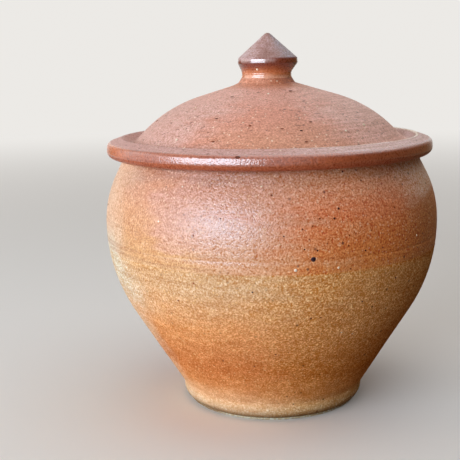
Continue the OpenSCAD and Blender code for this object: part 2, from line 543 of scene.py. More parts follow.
class ClayNodes(NodeWriter):
    """Builds the shader of one fired clay from Object coordinates."""

    def __init__(self, tree):
        super().__init__(tree)
        self.place = self.add("ShaderNodeTexCoord").outputs["Object"]
        x, y, self.height = self.parts(self.place)
        flat = self.combine(x, y, 0)
        self.radius = self.length(flat)
        self.around = self.vector("NORMALIZE", flat)
        self.rightward = self.parts(self.around)[0]

    def wander(self, scale, reach, detail=3.0):
        """Soft random values over the piece, between about minus and plus half of reach."""
        return self.swing(self.place, scale, reach, detail)

    def toward(self, low, high, scale, reach, detail=3.0):
        """0 on the left of a piece and 1 on its right, across a change that wanders."""
        return (self.rightward + self.wander(scale, reach, detail)).smooth(low, high)

    def layered(self, colour, *layers):
        """A colour under layers of others, each with its shares, which are multiplied."""
        for second, share, *shares in layers:
            for factor in shares:
                share = share * factor
            colour = self.mix(share, colour, second)
        return colour

    def grained(self, colour, depth, shares=GRAIN_SHARES):
        """A colour that grain makes paler and darker, with shares for red, green and blue."""
        change = self.vector("MULTIPLY_ADD", self.combine(depth, depth, depth), shares, (1, 1, 1))
        return self.vector("MULTIPLY", colour, self.vector("MAXIMUM", change, DARKEST_GRAIN))

    def ramp(self, value, rows):
        """Colours that run into each other through (height in millimetres, colour) stops."""
        first, last = rows[0][0], rows[-1][0]
        inputs = {"Value": value, "From Min": first * MM, "From Max": last * MM}
        node = self.add("ShaderNodeValToRGB", {0: self.add("ShaderNodeMapRange", inputs).outputs[0]})
        elements = node.color_ramp.elements
        while len(elements) < len(rows):
            elements.new(0.5)
        for element, (place, colour) in zip(elements, rows):
            element.position = (place - first) / (last - first)
            element.color = colour
        return node.outputs[0]

    def streaks(self, turns, scale, detail=2.0):
        """Soft random values about zero, drawn out along the turning of the wheel."""
        ring = self.vector("MULTIPLY", self.around, (turns, turns, turns))
        lift = self.combine(0, 0, (self.radius * STREAK_LEAN + self.height) * scale)
        return self.noise(self.vector("ADD", ring, lift), 1.0, detail) - 0.5

    def shifted(self, offset):
        return self.vector("ADD", self.place, (offset, offset * 0.7, -offset * 0.4))

    def specks(self, offset, cells, share, size):
        """1 in small round specks up to size across, in a share of the cells, and 0 around them."""
        cell = self.add("ShaderNodeTexVoronoi", {"Vector": self.shifted(offset), "Scale": cells}).outputs
        chance, spread, _ = self.parts(cell["Color"])
        radius = spread.between(SPECK_LEAST * size * cells, SPECK_LARGEST * size * cells)
        inside = self.math("DIVIDE", cell["Distance"], radius).smooth(*SPECK_EDGE)
        return inside * self.math("LESS_THAN", chance, share)


def emptied(owner, writer=NodeWriter):
    """A writer for the emptied node tree of a material or a world."""
    owner.use_nodes = True
    owner.node_tree.nodes.clear()
    return writer(owner.node_tree)


def clay(name, paint, bump, **constants):
    """A material with the colour, roughness and relief that a paint function gives, bump metres deep."""
    material = bpy.data.materials.new(name)
    net = emptied(material, ClayNodes)
    colour, roughness, relief = paint(net)
    normal = net.add("ShaderNodeBump", {"Height": relief, "Distance": bump, "Strength": 1.0}).outputs[0]
    inputs = {"Base Color": colour, "Roughness": roughness, "Normal": normal, "Coat Normal": normal}
    shader = net.add("ShaderNodeBsdfPrincipled", inputs)
    for key, value in constants.items():
        shader.inputs[key.replace("_", " ")].default_value = value
    net.add("ShaderNodeOutputMaterial", {"Surface": shader.outputs[0]})
    return material


def grain(net):
    """The open grain of the clay, from about minus one to one."""
    return net.wander(1900, 4.4, 1.0) + net.wander(800, 1.2, 1.0)


# Colours of the pot by height, below and above the throwing line, on its left, its front and its right
# Just above the pale wiped edge the flank ramps dip dark around 1 mm up: painted shade under the curve of the
# foot
LEFT_FLANK = stops(
    (0, 200, 194, 170), (0.6, 190, 182, 156), (1.0, 136, 114, 80), (3.0, 204, 172, 134),
    (5.5, 234, 188, 140), (12, 216, 146, 88), (19, 203, 126, 71), (34, 226, 161, 104), (47, 216, 176, 133),
)
RIGHT_FLANK = stops(
    (0, 186, 176, 148), (0.6, 176, 164, 134), (1.0, 122, 98, 64), (3.0, 200, 164, 116), (5.5, 228, 180, 122),
    (9, 219, 155, 92), (19, 202, 132, 66), (34, 223, 162, 100),
)
# The shoulder ramps darken over their top few millimetres, just under the lid's flange: painted shade
LEFT_SHOULDER = stops((50, 219, 168, 109), (62, 214, 154, 100), (76, 208, 141, 101), (83, 178, 122, 92))
FRONT_SHOULDER = stops((55, 222, 167, 126), (66, 209, 148, 114), (77, 204, 141, 112), (83, 176, 126, 104))
RIGHT_SHOULDER = stops(
    (50, 222, 141, 68), (60, 217, 124, 53), (72, 216, 121, 67), (77, 216, 138, 91), (83, 186, 132, 96),
)
# Pale ash low on the left, spread along the left side as painted sheen
ASH_AND_SHEEN = tone(220, 210, 184)
# Painted sheen high on the right side of the shoulder
RIGHT_SIDE_PAINTED_SHEEN = tone(236, 194, 162)
# Painted sheen on the left side of the shoulder
LEFT_SIDE_PAINTED_SHEEN = tone(232, 188, 152)
# Painted shade on the right side of the shoulder
RIGHT_SIDE_PAINTED_SHADE = tone(180, 110, 50)
RING_BROWN = tone(174, 112, 62)
IRON = tone(104, 50, 28)
PIT_BROWN = tone(84, 32, 12)
# Painted shade at the left of the foot
FOOT_PAINTED_SHADE = tone(146, 124, 94)
PALE_GRIT = tone(252, 236, 208)
GOLDEN_GRIT = tone(242, 202, 142)
PEACH_GRIT = tone(250, 212, 176)
SAND_SHARES = (0.62, 1.15, 1.8, 1)
FLASHED_SHARES = (0.56, 1.45, 2.9, 1)

# Where the wheel and the flame left their marks on the pot, as shares and as heights that wander
Firing = namedtuple("Firing", "drawn loose band lifted shoulder flash")


def pot_firing(net):
    """The marks of wheel and flame: streaks, bands, the edge of the shoulder and the flash on the right."""
    height, rightward = net.height, net.rightward
    ragged = net.swing(net.shifted(0.3), 170, 5 * MM, 3.0)
    drawn = net.streaks(3, 260, 3.0)
    loose = height.risen(2, 20)
    drift = net.wander(24, 13 * MM) + ragged + drawn * (5 * MM)
    line = height + net.wander(15, 0.8 * MM, 0.0) + ragged * 0.12
    turn = rightward + net.wander(60, 0.3, 2.0)
    left_blur = turn.smooth(-0.8, -0.55).between(4 * MM, 0.55 * MM)
    blur = left_blur + turn.smooth(0.3, 0.8) * (1.3 * MM)
    side = rightward + net.wander(34, 0.6) + drawn * 0.9
    shoulder = ((line - THROWING_LINE) / blur).smooth(-1.0, 1.0)
    flash = side.smooth(-0.34, 0.42)
    return Firing(drawn, loose, height + drift * loose, height + drawn * (9 * MM), shoulder, flash)


def pot_ground(net, fire):
    """Sand, orange and a pale foot below the throwing line, and salmon, ochre and orange above it."""
    flank = net.mix(fire.flash, net.ramp(fire.band, LEFT_FLANK), net.ramp(fire.band, RIGHT_FLANK))
    turned = net.rightward + net.wander(40, 0.35) + fire.drawn * 0.5
    ochre = fire.lifted.risen(64, 55) * -0.24 + turned
    left, front = net.ramp(fire.lifted, LEFT_SHOULDER), net.ramp(fire.lifted, FRONT_SHOULDER)
    upper = net.mix(ochre.smooth(-0.77, -0.55), left, front)
    upper = net.mix(fire.flash, upper, net.ramp(fire.lifted, RIGHT_SHOULDER))
    return net.mix(fire.shoulder, flank, upper)


def pot_marks_and_painted_light(net, fire, colour):
    """Ash and painted sheen on the left, painted sheen and painted shade on the right side of the shoulder,
    painted shade at the foot's left, and rings left by fingers.
    """
    height, rightward = net.height, net.rightward
    rings = net.streaks(1.2, 700, 1.0).smooth(0.04, 0.14)
    return net.layered(
        colour,
        (ASH_AND_SHEEN, net.toward(-0.74, -1.0, 60, 0.5), fire.band.risen(32, 52).between(0.5, 1.0),
         fire.band.risen(68, 57).between(0.2, 1.0),
         height.risen(4, 22).between(0.3, 1.0)),
        (LEFT_SIDE_PAINTED_SHEEN, net.toward(-0.82, -1.0, 50, 0.2), height.risen(52, 66)),
        (RIGHT_SIDE_PAINTED_SHEEN, net.toward(0.6, 0.92, 50, 0.4), fire.lifted.risen(66, 75)),
        (FOOT_PAINTED_SHADE, rightward.smooth(-0.35, -0.8), height.risen(2.6, 1.4)),
        (RIGHT_SIDE_PAINTED_SHADE, net.toward(0.6, 0.95, 50, 0.2), height.risen(51, 56),
         fire.lifted.risen(76, 68)),
        (RING_BROWN, rings, rightward.smooth(0.0, -0.65), height.risen(72, 60),
         height.risen(32, 40), fire.shoulder.between(0.2, 0.45)),
    )


def pot_grit(net, fire, colour, grains, pores):
    """Streaks and grains, sandier below the throwing line, with glints, open pores and burnt pits."""
    flash, shoulder = fire.flash, fire.shoulder
    gritty = 1.0 - shoulder
    colour = net.grained(colour, net.streaks(7, 620, 3.0) * gritty.between(0.3, 0.75))
    sand = grains + (grains * grains - 0.27) * gritty * flash.between(0.25, 0.6)
    coarse = flash * shoulder.between(0.18, 0.08) + 0.41
    shares = net.mix(flash * shoulder.between(0.3, 1.0), SAND_SHARES, FLASHED_SHARES)
    colour = net.grained(colour, sand * (coarse * fire.loose.between(0.6, 1.0)), shares)
    return net.layered(
        colour,
        (net.mix(gritty, PEACH_GRIT, GOLDEN_GRIT), net.specks(0.11, 1000, 0.8, 0.8 * MM),
         gritty.between(0.5, 0.65), fire.loose.between(0.3, 1.0)),
        (IRON, pores, flash.between(0.3, 0.35)),
        (PIT_BROWN, net.specks(0.42, 400, 0.3, 1.2 * MM), flash.between(0.3, 0.8)),
    )


def paint_pot(net):
    """Salmon shoulder over a sandy band, an orange flank and a pale foot, flashed a deeper, darker orange on
    the right, with painted sheen and shade at the sides and painted shade under the flange and at the foot.
    """
    fire = pot_firing(net)
    grains = grain(net)
    pores = net.specks(0.77, 820, 0.5, 0.7 * MM)
    colour = pot_marks_and_painted_light(net, fire, pot_ground(net, fire))
    colour = pot_grit(net, fire, colour, grains, pores)
    polish = net.rightward.smooth(-0.6, -0.25).between(0.44, 0.25)
    dryness = fire.shoulder.between(0.7, fire.flash.between(polish, 0.58))
    relief = grains * (1.0 - fire.shoulder).between(0.36, 0.8) + net.streaks(5, 1100) * 0.3
    relief = relief + net.swing(net.place, 1400, 0.7) * fire.shoulder + pores * -0.5
    return colour, dryness + grains * 0.08 + pores * 0.3, relief


INSIDE_CLAY = tone(205, 146, 104)
INSIDE_DARK = tone(172, 108, 70)


def paint_inside(net):
    """Plain clay inside, with darker clouds and a few iron specks."""
    grains = grain(net)
    cloud = net.noise(net.place, 40, 3.0).smooth(0.35, 0.7)
    colour = net.grained(net.mix(cloud, INSIDE_CLAY, INSIDE_DARK), grains * 0.17)
    colour = net.layered(colour, (IRON, net.specks(0.9, 330, 0.4, 0.9 * MM), 0.7))
    return colour, grains * 0.1 + 0.6, grains + net.streaks(6, 900) * 0.4


ROSE = tone(204, 134, 108)
# Grey towards the dome's sides, partly bloom and partly painted sheen
ROSE_GREY_AND_SHEEN = tone(207, 158, 142)
ROSE_ORANGE = tone(202, 138, 107)
ROSE_CROWN = tone(222, 163, 144)
# Pale on the dome's right, partly dust and partly painted sheen
ROSE_DUST_AND_SHEEN = tone(231, 181, 165)
ROSE_TOP = tone(206, 138, 108)
# Brown at the knob's foot on the right half, partly the flare's own colour and partly painted shade
FLARE_BROWN_AND_SHADE = tone(178, 98, 58)
LIP_GREY = tone(199, 149, 137)
# Paler lip on the right, partly bloom and partly painted light
LIP_PALE_AND_LIT = tone(218, 180, 171)
# Pale crest line on the right, partly wear and partly painted highlight
LIP_CREST_WEAR_AND_HIGHLIGHT = tone(255, 240, 224)


def dome_ground(net):
    """Rose that turns grey at the sides and pale on the right, partly with dust and partly with painted
    sheen, warmer low in front, paler towards the crown, and brown at the knob's foot on the right, partly
    painted shade.
    """
    height, rightward = net.height, net.rightward
    drawn = net.streaks(4, 240, 3.0)
    off_front = abs(rightward - 0.1)
    dust_and_sheen = off_front + net.wander(45, 0.6) + drawn
    dust_and_sheen_side = rightward + net.wander(60, 0.15) + drawn * 0.6
    warm = (height + net.wander(60, 9 * MM) + drawn * (8 * MM)).risen(99, 89)
    front = (off_front + net.wander(50, 0.6, 2.0)).smooth(0.75, 0.2)
    return net.layered(
        ROSE,
        (ROSE_GREY_AND_SHEEN, dust_and_sheen.smooth(0.2, 0.85)),
        (ROSE_DUST_AND_SHEEN, dust_and_sheen_side.smooth(0.1, 1.0)),
        (ROSE_ORANGE, warm, front),
        (ROSE_CROWN, height.risen(98, 103), 0.75),
        (ROSE_TOP, height.risen(103.8, 105.4)),
        (FLARE_BROWN_AND_SHADE, height.risen(105, 106.4), rightward.smooth(-0.35, 0.35)),
    )


def lip_bloom_and_light(net, colour):
    """Grey bloom on the lip, paler on its right with painted light, and a pale crest line on the right,
    partly wear and partly painted highlight.
    """
    to_right = net.rightward + net.wander(80, 0.7)
    bloom = net.mix(to_right.smooth(-0.15, 0.6), LIP_GREY, LIP_PALE_AND_LIT)
    flat = net.vector("MULTIPLY", net.vector("SUBTRACT", net.place, LID_OFF_CENTRE), (1, 1, 0))
    radius = net.length(flat)
    crest = abs(radius - LIP_CREST_R).risen(0.6, 0.25)
    crest_wear_and_light = to_right.smooth(-0.1, 0.3)
    return net.layered(colour, (bloom, radius.risen(45.6, 46.8)), (LIP_CREST_WEAR_AND_HIGHLIGHT, crest, crest_wear_and_light))


def paint_dome(net):
    """Dusty rose with a grey lip, fine brush marks, and short dark drag marks and pits."""
    grains = grain(net)
    brushed = net.rightward.smooth(0.0, 0.5)
    drags = (net.streaks(20, 1200) + brushed * 0.012).smooth(0.14, 0.2)
    pits = net.specks(0.55, 380, 0.55, 1.15 * MM)
    colour = net.grained(lip_bloom_and_light(net, dome_ground(net)), grains * 0.4)
    colour = net.grained(colour, net.streaks(3, 1300) * brushed.between(0.3, 1.1))
    grit = net.specks(0.21, 700, 0.6, 0.8 * MM)
    colour = net.layered(colour, (IRON, drags, 0.55), (PALE_GRIT, grit, 0.55), (IRON, pits, 0.75))
    relief = grains * 0.5 + net.streaks(6, 1000) * 0.4 + pits * -1.5 + drags * -1.0
    return colour, grains * 0.06 + 0.48, relief


RIM_RED = tone(164, 78, 42)
RIM_DARK = tone(152, 68, 38)
RIM_FOOT = tone(164, 88, 58)
RIM_LIT = tone(220, 116, 66)


def paint_rim(net):
    """Glossy red-brown flange edge, more orange along its foot, with a dappled shine."""
    grains = grain(net)
    cloud = net.noise(net.place, 70, 3.0) + net.rightward * 0.12
    colour = net.layered(
        RIM_RED,
        (RIM_DARK, cloud.smooth(0.35, 0.68)),
        (RIM_LIT, net.toward(-0.75, -0.98, 60, 0.3, 2.0)),
        (RIM_FOOT, net.height.risen(85.4, 84.2)),
    )
    colour = net.grained(colour, grains * 0.46)
    colour = net.layered(colour, (IRON, net.specks(0.35, 420, 0.6, 0.8 * MM), 0.7))
    relief = grains + net.wander(1100, 1.4, 2.0) + net.wander(420, 0.5, 2.0)
    return colour, grains * 0.1 + 0.33, relief


def right_half(net):
    """0 on the left of a piece, 1 on its right, and a soft change across the front and back."""
    return net.rightward.smooth(-0.25, 0.35)


NECK_DARK = tone(116, 40, 14)
NECK_ORANGE = tone(202, 114, 62)
NECK_PEACH = tone(216, 148, 112)
MAUVE = tone(176, 138, 131)
MAUVE_DARK = tone(150, 106, 96)
# Painted sheen at the sides of the knob's point
MAUVE_PAINTED_SHEEN = tone(200, 172, 168)
# Cool grey on the right of the knob's point, partly dust and partly painted sheen
COOL_DUST_AND_SHEEN = tone(178, 170, 180)


def paint_cone(net):
    """Matt grey-mauve bloom on the knob's point, with painted sheen paler at the sides, a cooler grey on the
    right that is partly dust and partly painted sheen, and painted shade low on its right edge.
    """
    grains = grain(net)
    aside = abs(net.rightward) + net.wander(140, 0.6, 2.0)
    colour = net.layered(
        MAUVE,
        (MAUVE_DARK, net.noise(net.place, 160, 3.0).smooth(0.36, 0.66)),
        (MAUVE_PAINTED_SHEEN, aside.smooth(0.65, 1.1)),
        (COOL_DUST_AND_SHEEN, net.toward(0.1, 0.9, 260, 0.8, 2.0), 0.6),
    )
    colour = net.layered(
        net.grained(colour, grains * 0.48),
        (PALE_GRIT, net.specks(0.65, 700, 0.4, 0.6 * MM), 0.35),
        # Dark brown up the right half of the knob's edge: painted shade
        (NECK_DARK, net.height.risen(114.5, 113.7), right_half(net)),
    )
    return colour, grains * 0.1 + 0.5, grains


def paint_neck(net):
    """Glossy neck that runs from deep red-brown under the edge to orange and peach at its foot, with the edge
    mauve on its lit left half and left dark on its right: painted light and shade.
    """
    grains = grain(net)
    up = net.height + net.wander(120, 2 * MM, 2.0)
    colour = net.layered(
        NECK_PEACH,
        (NECK_ORANGE, up.risen(107.4, 109.4)),
        (NECK_DARK, up.risen(108.8, 111.8)),
        # Mauve over the knob's edge on its left half only: painted light there, with the right half left dark
        # as painted shade
        (MAUVE, net.height.risen(112.6, 113.5), 1.0 - right_half(net)),
    )
    colour = net.grained(colour, grains * 0.25)
    colour = net.layered(colour, (IRON, net.specks(0.75, 450, 0.3, 0.6 * MM), 0.6))
    return colour, grains * 0.1 + 0.3, grains * 0.6


SPOT_DARK = tone(58, 32, 32)
SPOT_BROWN = tone(136, 68, 40)
LARGE_SPOT_BLACK = tone(34, 22, 28)
LARGE_SPOT_BLUE = tone(60, 42, 52)
GROG_WHITE = tone(246, 236, 218)
GROG_CREAM = tone(228, 204, 170)
BITS_BUMP = 0.02 * MM


def paint_bits(first, second, smoothest, roughest):
    """A paint function for small bits in the clay, with two colours melted into each other."""
    def paint(net):
        melt = net.noise(net.place, 900)
        colour = net.mix(melt.smooth(0.34, 0.6), first, second)
        return colour, melt.between(smoothest, roughest), melt
    return paint


pot_clay = clay("pot flashed stoneware", paint_pot, bump=0.095 * MM,
                Specular_IOR_Level=0.9, Specular_Tint=(0.6, 0.85, 1.0, 1))
flank_clay = clay("pot dry stoneware", paint_pot, bump=0.055 * MM, Specular_IOR_Level=0.0)
inside_clay = clay("inside plain stoneware", paint_inside, bump=0.05 * MM)
dome_clay = clay("lid dusty stoneware", paint_dome, bump=0.05 * MM)
rim_clay = clay("rim glossy stoneware", paint_rim, bump=0.024 * MM,
                Coat_Weight=1.0, Coat_Roughness=0.19, Coat_IOR=1.85)
rim_foot_clay = clay("rim dry stoneware", paint_rim, bump=0.038 * MM, Specular_IOR_Level=0.2)
cone_clay = clay("knob bloomed stoneware", paint_cone, bump=0.035 * MM)
neck_clay = clay("neck glossy stoneware", paint_neck, bump=0.012 * MM,
                 Coat_Weight=1.0, Coat_Roughness=0.15, Coat_IOR=1.8)
paint_spots = paint_bits(SPOT_DARK, SPOT_BROWN, 0.3, 0.5)
paint_large_spots = paint_bits(LARGE_SPOT_BLACK, LARGE_SPOT_BLUE, 0.3, 0.5)
paint_grog = paint_bits(GROG_WHITE, GROG_CREAM, 0.5, 0.7)
spot_iron = clay("iron spots", paint_spots, BITS_BUMP, Specular_IOR_Level=0.1)
large_spot_iron = clay("large iron spots", paint_large_spots, BITS_BUMP, Specular_IOR_Level=0.2)
white_grog = clay("white grog", paint_grog, BITS_BUMP)


# Forms
# Shape of a line cut with a pointed tool: offset along the wall and share of the depth
LINE_SHAPE = [(-0.22 * MM, 0), (0, 1), (0.22 * MM, 0)]
LINE_CLEAR = 0.4 * MM


def belly_corners(radius, low, high):
    widest = (radius, BELLY_HEIGHT)
    return belly_corner(widest, low, FLANK_FULLNESS), belly_corner(widest, high, SHOULDER_FULLNESS)


def pot_corners():
    mouth_low = RIM_HEIGHT - MOUTH_DEPTH
    floor_r = FOOT_R - POT_WALL
    outside = belly_corners(BELLY_R, (FOOT_R, FOOT_HEIGHT), (RIM_R, RIM_HEIGHT))
    inside = belly_corners(BELLY_R - POT_WALL, (floor_r, FLOOR_HEIGHT), (MOUTH_R, mouth_low))
    return [
        (0, HOLLOW_DEPTH, 0, SEAT),
        (FOOT_R - FOOT_RING - HOLLOW_DEPTH, HOLLOW_DEPTH, HOLLOW_ROUND, SEAT),
        (FOOT_R - FOOT_RING, 0, HOLLOW_ROUND, SEAT),
        (FOOT_R - WIPED_IN, 0, WIPED_LOW_ROUND, FOOT_EDGE),
        (FOOT_R - WIPED_IN, WIPED_HEIGHT, WIPED_TOP_ROUND, FOOT_EDGE),
        (FOOT_R, FOOT_ROUND_HEIGHT, FOOT_ROUND, FOOT_EDGE),
        (FOOT_R, FOOT_HEIGHT, FOOT_CURVE, POT_SHOULDER),
        (*outside[0], POT_SHOULDER),
        (*outside[1], POT_SHOULDER),
        (RIM_R, RIM_HEIGHT, RIM_ROUND, SEAT),
        (MOUTH_R, RIM_HEIGHT, RIM_ROUND, SEAT),
        (MOUTH_R, mouth_low, MOUTH_ROUND, POT_INSIDE),
        (*inside[1], POT_INSIDE),
        (*inside[0], POT_INSIDE),
        (floor_r, FLOOR_HEIGHT, FLOOR_ROUND, POT_INSIDE),
        (0, FLOOR_HEIGHT, 0, SEAT),
    ]


def dome_inside_corners():
    """Corners of the lid's underside, a wall's thickness below the dome, out to the collar's inner side."""
    crown = atan2(KNOB_SEAT - SEAT_HEIGHT - BEND_HEIGHT, BEND_R - KNOB_BASE_R)
    side = atan2(BEND_HEIGHT - GUTTER_HEIGHT, GUTTER_R - BEND_R)
    inset = LID_WALL / cos((side - crown) / 2)
    bend_r = BEND_R - inset * sin((side + crown) / 2)
    bend_z = SEAT_HEIGHT + BEND_HEIGHT - inset * cos((side + crown) / 2)
    top = KNOB_SEAT - LID_WALL
    collar_inner = COLLAR_R - COLLAR_WALL
    return [
        (0, top, 0, SEAT),
        (bend_r - (top - bend_z) / tan(crown), top, CROWN_INSIDE_ROUND, LID_INSIDE),
        (bend_r, bend_z, DOME_ROUND - LID_WALL, LID_INSIDE),
        (collar_inner, bend_z - (collar_inner - bend_r) * tan(side), COLLAR_TOP_ROUND, SEAT),
        (collar_inner, SEAT_HEIGHT, 0, SEAT),
    ]


def lid_corners():
    edge_r = FLANGE_R - FLANGE_LEAN
    lip_slope = (LIP_HEIGHT - FLANGE_EDGE) / (edge_r - LIP_R)
    return [
        *dome_inside_corners(),
        (FLANGE_R, SEAT_HEIGHT, FLANGE_LOW_ROUND, FLANGE),
        (edge_r, SEAT_HEIGHT + FLANGE_EDGE, FLANGE_TOP_ROUND, FLANGE),
        (edge_r - FLANGE_BAND, SEAT_HEIGHT + FLANGE_EDGE + FLANGE_BAND * lip_slope, 0, LIP),
        (LIP_R, SEAT_HEIGHT + LIP_HEIGHT, LIP_ROUND, LIP),
        (GUTTER_R, SEAT_HEIGHT + GUTTER_HEIGHT, GUTTER_ROUND, LIP),
        (BEND_R, SEAT_HEIGHT + BEND_HEIGHT, DOME_ROUND, DOME),
        (KNOB_BASE_R, KNOB_SEAT, 0, SEAT),
        (0, KNOB_SEAT, 0, SEAT),
    ]


def collar_corners():
    inner = COLLAR_R - COLLAR_WALL
    return [
        (COLLAR_R, SEAT_HEIGHT, 0, SEAT),
        (inner, SEAT_HEIGHT, 0, COLLAR_SIDE),
        (inner, COLLAR_LOW, COLLAR_ROUND, COLLAR_SIDE),
        (COLLAR_R, COLLAR_LOW, COLLAR_ROUND, COLLAR_SIDE),
    ]


def knob_corners():
    cone_r = KNOB_EDGE_R - KNOB_EDGE_LEAN
    return [
        (0, KNOB_SEAT, 0, SEAT),
        (KNOB_FLARE_R, KNOB_SEAT + KNOB_FLARE_LOW, 0, KNOB_FLARE),
        (KNOB_FOOT_R, KNOB_SEAT + KNOB_FOOT_HEIGHT, KNOB_FOOT_ROUND, NECK),
        (NECK_R, KNOB_SEAT + NECK_LOW, NECK_ROUND, NECK),
        (NECK_R, KNOB_SEAT + NECK_HIGH, NECK_ROUND, NECK),
        (KNOB_EDGE_R, KNOB_SEAT + KNOB_EDGE_LOW, KNOB_EDGE_ROUND, KNOB_EDGE),
        (cone_r, KNOB_SEAT + KNOB_EDGE_HIGH, KNOB_EDGE_ROUND, CONE),
        (TIP_R, KNOB_TIP, TIP_ROUND, CONE),
        (0, KNOB_TIP, 0, SEAT),
    ]


def incised(points, height, depth):
    """A pot's outline with a fine line cut into its outside at a height."""
    clear = [(place, stretch) for place, stretch in points
             if stretch is not POT_SHOULDER or abs(place.y - height) > LINE_CLEAR]
    cut = clear[:1]
    for place, stretch in clear[1:]:
        last, before = cut[-1]
        if before is POT_SHOULDER and last.y < height < place.y:
            slope = (place.x - last.x) / (place.y - last.y)
            for offset, dip in LINE_SHAPE:
                rise = height + offset
                cut.append((Vector((last.x + (rise - last.y) * slope - dip * depth, rise)), before))
        cut.append((place, stretch))
    return cut


def changed_below(points, height, upper, lower):
    """An outline in which a stretch gives way to another below a height."""
    return [(place, lower if stretch is upper and place.y < height else stretch)
            for place, stretch in points]


def set_aside(piece, shift, low, high):
    """Shifts a piece sideways below a low height, and less and less up to a high one."""
    for vertex in piece.data.vertices:
        share = (high - vertex.co.z) / (high - low)
        vertex.co.x += shift * min(max(share, 0), 1)


turned_form = turned_form_tree()
set_in_clay = set_in_clay_tree()


def turned_piece(name, points, finishes, segments, lump_depth, off_centre=(0, 0, 0)):
    """A thrown piece that stands for the CAD node of the same name."""
    values = {
        "Segments": segments, "Lump Depth": lump_depth, "Off Centre": off_centre,
        "Clay": finishes[0], "Second Clay": finishes[1], "Third Clay": finishes[2],
    }
    return grown_piece(name + "_thrown", outline_mesh(name, points), turned_form, values)


pot_outline = incised(outline(pot_corners()), THROWING_LINE, THROWING_LINE_DEPTH)
pot_outline = incised(pot_outline, UPPER_LINE, UPPER_LINE_DEPTH)
pot_outline = changed_below(pot_outline, THROWING_LINE, POT_SHOULDER, POT_FLANK)
lid_outline = changed_below(outline(lid_corners()), SEAT_HEIGHT + FLANGE_DRY, FLANGE, FLANGE_FOOT)
collar_outline = outline(collar_corners())
collar_outline.append(collar_outline[0])
knob_outline = changed_below(outline(knob_corners()), KNOB_GLOSS_LOW, NECK, KNOB_FLARE)

pot = turned_piece("pot", pot_outline, (pot_clay, inside_clay, flank_clay), segments=320,
                   lump_depth=0.5 * MM)
lid = turned_piece("lid", lid_outline, (dome_clay, rim_clay, rim_foot_clay), segments=320,
                   lump_depth=0.3 * MM, off_centre=LID_OFF_CENTRE)
collar = turned_piece("lid_collar", collar_outline, [inside_clay] * 3, segments=240,
                      lump_depth=0.2 * MM, off_centre=LID_OFF_CENTRE)
knob = turned_piece("knob", knob_outline, (cone_clay, neck_clay, dome_clay), segments=160,
                    lump_depth=0.2 * MM, off_centre=LID_OFF_CENTRE)
set_aside(knob, NECK_ASIDE, KNOB_SEAT + NECK_HIGH, KNOB_SEAT + KNOB_EDGE_LOW)

# Kinds of bits in the clay: least and largest width, share of the width that they stand out, and finish
Bits = namedtuple("Bits", "sizes flatness finish")
SPOTS = Bits((0.4 * MM, 0.9 * MM), 0.22, spot_iron)
LARGE_SPOTS = Bits((0.9 * MM, 1.4 * MM), 0.18, large_spot_iron)
GROG = Bits((0.5 * MM, 0.9 * MM), 0.35, white_grog)
MARK_REACH = 0.4 * MM

# Bits that show on the front: angle, then height and width in millimetres
POT_LARGE_SPOTS = [(10.0, 58.2, 1.6), (-8.3, 48.6, 1.0)]
POT_IRON_SPOTS = [
    (41.0, 49.1, 0.7), (21.1, 61.4, 0.6), (44.1, 60.1, 0.6), (-27.2, 50.4, 0.6),
    (-34.3, 44.1, 0.6), (-2.2, 76.3, 0.7), (1.2, 65.1, 0.5), (-17.8, 69.9, 0.5), (28.2, 43.4, 0.6),
    (-26.3, 64.8, 0.6), (18.6, 72.0, 0.7), (16.9, 69.4, 0.7), (12.2, 69.6, 0.5),
    (6.8, 66.9, 0.5), (9.9, 67.6, 0.5), (8.8, 64.0, 0.5), (7.3, 61.2, 0.5), (11.2, 60.7, 0.6),
    (14.3, 62.5, 0.5), (27.0, 59.4, 0.6), (37.6, 66.3, 0.6), (40.0, 70.4, 0.6), (21.5, 64.3, 0.5),
    (29.3, 65.0, 0.5), (22.0, 54.5, 0.6), (22.6, 81.8, 0.7), (28.7, 79.0, 0.6), (10.3, 39.7, 0.7),
    (13.7, 39.8, 0.6), (-1.2, 26.9, 0.6), (-10.2, 22.0, 0.6), (-23.6, 23.4, 0.6),
]
LID_IRON_SPOTS = [
    (-11.9, 87.3, 0.8), (-32.9, 102.4, 0.7), (22.1, 103.8, 0.7), (-29.2, 96.6, 0.5), (-10.9, 94.8, 0.5),
    (3.6, 93.8, 0.55), (11.8, 93.2, 0.5), (17.8, 95.4, 0.5), (-25.5, 90.4, 0.6), (12.6, 90.2, 0.5),
]
POT_GROG = [
    (4.7, 55.2, 1.0), (18.0, 55.2, 0.8), (50.4, 60.7, 0.8), (23.3, 33.4, 0.8), (28.6, 32.2, 0.8),
    (-39.7, 67.7, 0.8), (-32.7, 78.0, 0.5), (-5.4, 78.7, 0.6),
]
LID_GROG = [(-44.0, 90.5, 0.9), (-2.3, 103.2, 0.8), (46.8, 93.6, 1.0), (32.9, 92.5, 0.8), (-51.5, 99.3, 0.6)]
KNOB_GROG = [(-25.2, 110.4, 0.8)]


def marked_mesh(name, points, marks, off_centre):
    """Vertices on an outline's outermost wall, at marks of (angle, height, size) in degrees and metres."""
    places = [place for place, _ in points]
    normals = outward_normals(places)
    mesh = bpy.data.meshes.new(name)
    spots, directions = [], []
    for angle, height, _ in marks:
        near = max((p.x, i) for i, p in enumerate(places) if abs(p.y - height) < MARK_REACH)[1]
        front = Matrix.Rotation(radians(angle), 3, "Z") @ Vector((0, -1, 0))
        spots.append(front * places[near].x + Vector((0, 0, height)) + Vector(off_centre))
        directions.append(front * normals[near].x + Vector((0, 0, normals[near].y)))
    mesh.from_pydata(spots, [], [])
    carry(mesh, "size", [size for *_, size in marks])
    carry_vectors(mesh, "outward", directions)
    return mesh


